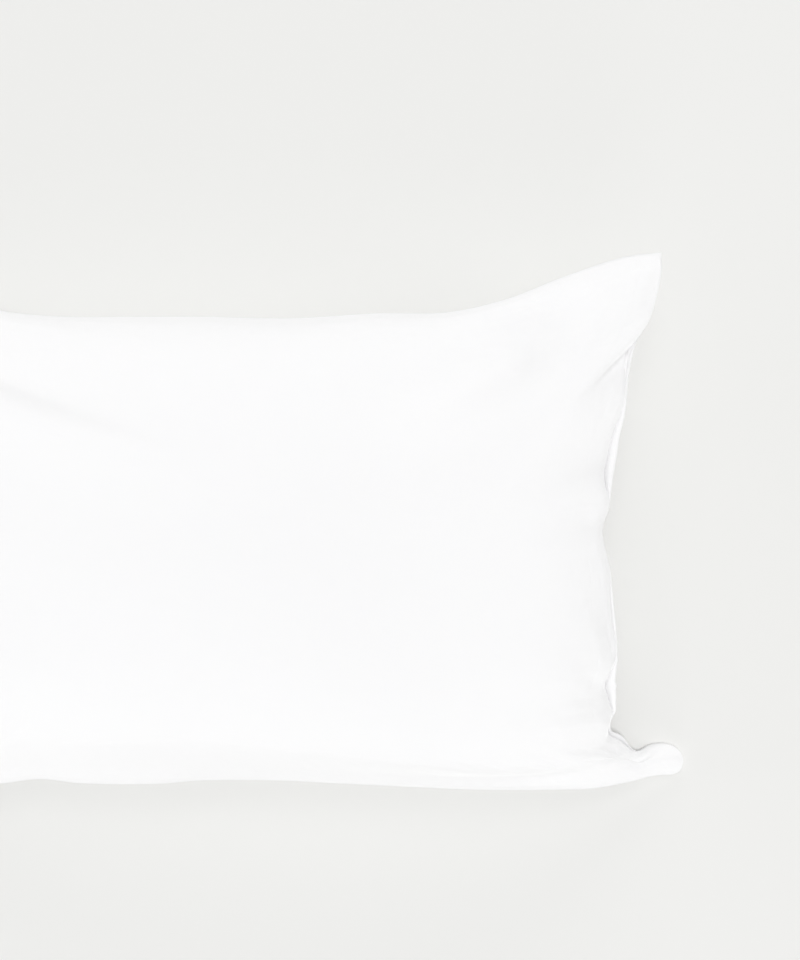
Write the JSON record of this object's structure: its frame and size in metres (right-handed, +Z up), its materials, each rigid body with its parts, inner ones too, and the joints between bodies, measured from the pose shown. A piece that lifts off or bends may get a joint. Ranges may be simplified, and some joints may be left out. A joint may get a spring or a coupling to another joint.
{
  "type": "filled pillowcase",
  "caption": "White cotton pillowcase lying over a plump pillow: crowned front, drawn-in sides, uneven ears, and the front's turned edge over the back's hem at its mouth.",
  "frame": {"origin": "on the flat patch that the case rests on, below the middle of its length and width", "axes": "+X along the case towards its mouth, +Y across it towards the long side with the raised ear, +Z up through the crowned front"},
  "size_m": [0.756, 0.497, 0.1732],
  "materials": {
    "white_cotton": "matt white plain-weave cotton"
  },
  "bodies": {
    "root": {"pillowcase": "white_cotton"}
  },
  "joints": []
}
